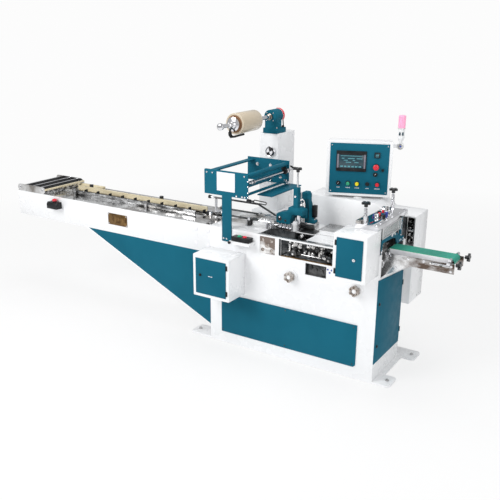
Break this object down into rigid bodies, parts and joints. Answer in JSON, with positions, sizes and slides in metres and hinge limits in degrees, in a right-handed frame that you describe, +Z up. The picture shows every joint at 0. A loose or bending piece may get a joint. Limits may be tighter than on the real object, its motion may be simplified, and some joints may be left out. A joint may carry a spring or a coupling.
{
  "type": "horizontal flow wrapper",
  "caption": "Horizontal flow wrapping machine with a long lug-chain infeed, film reel on a column, fin-seal and rotary end-seal units, and a short discharge belt.",
  "frame": {"origin": "centre of the main cabinet's footprint on the floor", "axes": "+X with the product flow from infeed to discharge, -Y towards the operator, +Z up"},
  "size_m": [3.873, 1.0663, 1.71],
  "materials": {
    "base_frame": "gloss",
    "main_cabinet": "gloss",
    "front_panel": "satin",
    "end_door": "satin",
    "left_box": "gloss",
    "right_box": "gloss",
    "left_box_door": "satin",
    "right_box_door": "satin",
    "door_hinges": "satin",
    "handwheel_left": "polished",
    "handwheel_right": "polished",
    "seal_wheels": "brushed",
    "deck_plate": "brushed",
    "rear_box": "gloss",
    "column": "gloss",
    "bearing_block": "painted",
    "reel_shaft": "polished",
    "film_roll": "satin",
    "frame_front": "satin",
    "frame_rear": "satin",
    "frame_bars": "satin",
    "idler_roller": "satin",
    "infeed_trough": "gloss",
    "infeed_deck": "brushed",
    "lug_chain": "satin",
    "chain_lugs": "satin",
    "chain_guide": "satin",
    "guide_rails": "satin",
    "end_box": "polished",
    "end_box_slats": "satin",
    "bracket_panels": "satin",
    "bracket_skin": "gloss",
    "estop_base": "satin",
    "estop_button": "gloss",
    "forming_rods": "satin",
    "rod_stand": "satin",
    "film_former": "polished",
    "fin_casting": "painted",
    "fin_motor": "satin",
    "jaw_frame": "brushed",
    "upper_jaw": "polished",
    "lower_jaw": "polished",
    "seal_bridge": "polished",
    "adjusting_screws": "polished",
    "hand_knobs": "satin",
    "exit_frame": "satin",
    "exit_guard": "clear",
    "discharge_sides": "polished",
    "discharge_belt": "satin",
    "discharge_rollers": "satin",
    "start_bracket": "gloss",
    "start_box": "satin",
    "hmi_box": "gloss",
    "hmi_face": "satin",
    "hmi_controls": "satin",
    "lamp_body": "satin",
    "lamp_lens": "gloss"
  },
  "bodies": {
    "machine": {"base_frame": "base_frame", "main_cabinet": "main_cabinet", "front_panel": "front_panel", "left_box": "left_box", "right_box": "right_box", "door_hinges": "door_hinges", "seal_wheels": "seal_wheels", "deck_plate": "deck_plate", "rear_box": "rear_box", "column": "column", "bearing_block": "bearing_block", "frame_front": "frame_front", "frame_rear": "frame_rear", "frame_bars": "frame_bars", "infeed_trough": "infeed_trough", "infeed_deck": "infeed_deck", "lug_chain": "lug_chain", "chain_lugs": "chain_lugs", "chain_guide": "chain_guide", "guide_rails": "guide_rails", "end_box": "end_box", "end_box_slats": "end_box_slats", "bracket_panels": "bracket_panels", "bracket_skin": "bracket_skin", "estop_base": "estop_base", "estop_button": "estop_button", "forming_rods": "forming_rods", "rod_stand": "rod_stand", "film_former": "film_former", "fin_casting": "fin_casting", "fin_motor": "fin_motor", "jaw_frame": "jaw_frame", "seal_bridge": "seal_bridge", "adjusting_screws": "adjusting_screws", "hand_knobs": "hand_knobs", "exit_frame": "exit_frame", "exit_guard": "exit_guard", "discharge_sides": "discharge_sides", "discharge_belt": "discharge_belt", "discharge_rollers": "discharge_rollers", "start_bracket": "start_bracket", "start_box": "start_box", "hmi_box": "hmi_box", "hmi_face": "hmi_face", "hmi_controls": "hmi_controls", "lamp_body": "lamp_body", "lamp_lens": "lamp_lens"},
    "end_door": {"end_door": "end_door"},
    "left_box_door": {"left_box_door": "left_box_door"},
    "right_box_door": {"right_box_door": "right_box_door"},
    "handwheel_left": {"handwheel_left": "handwheel_left"},
    "handwheel_right": {"handwheel_right": "handwheel_right"},
    "reel": {"reel_shaft": "reel_shaft", "film_roll": "film_roll"},
    "idler": {"idler_roller": "idler_roller"},
    "upper_jaw": {"upper_jaw": "upper_jaw"},
    "lower_jaw": {"lower_jaw": "lower_jaw"}
  },
  "joints": [
    {"name": "end_door_hinge", "type": "hinge", "parent": "machine", "child": "end_door", "pos_m": [0.6653, 0.224, 0.14], "axis": [0, 0, 1], "range_deg": [0, 105]},
    {"name": "left_box_hinge", "type": "hinge", "parent": "machine", "child": "left_box_door", "pos_m": [-0.372, -0.4463, 0.45], "axis": [0, 0, 1], "range_deg": [0, 110]},
    {"name": "right_box_hinge", "type": "hinge", "parent": "machine", "child": "right_box_door", "pos_m": [0.455, -0.4533, 0.795], "axis": [0, 0, -1], "range_deg": [0, 110]},
    {"name": "handwheel_left_spin", "type": "hinge", "parent": "machine", "child": "handwheel_left", "pos_m": [0.028, -0.229, 0.643], "axis": [0, 1, 0], "continuous": true},
    {"name": "handwheel_right_spin", "type": "hinge", "parent": "machine", "child": "handwheel_right", "pos_m": [0.514, -0.229, 0.643], "axis": [0, 1, 0], "continuous": true},
    {"name": "reel_spin", "type": "hinge", "parent": "machine", "child": "reel", "pos_m": [-0.5, 0.342, 1.636], "axis": [0, 1, 0], "continuous": true},
    {"name": "idler_spin", "type": "hinge", "parent": "machine", "child": "idler", "pos_m": [-0.368, -0.229, 1.232], "axis": [0, 1, 0], "continuous": true},
    {"name": "upper_jaw_spin", "type": "hinge", "parent": "machine", "child": "upper_jaw", "pos_m": [0.55, 0, 0.981], "axis": [0, 1, 0], "continuous": true},
    {"name": "lower_jaw_spin", "type": "hinge", "parent": "machine", "child": "lower_jaw", "pos_m": [0.55, 0, 0.841], "axis": [0, 1, 0], "continuous": true}
  ],
  "couplings": [
    {"joint": "lower_jaw_spin", "follows": "upper_jaw_spin", "ratio": -1}
  ]
}
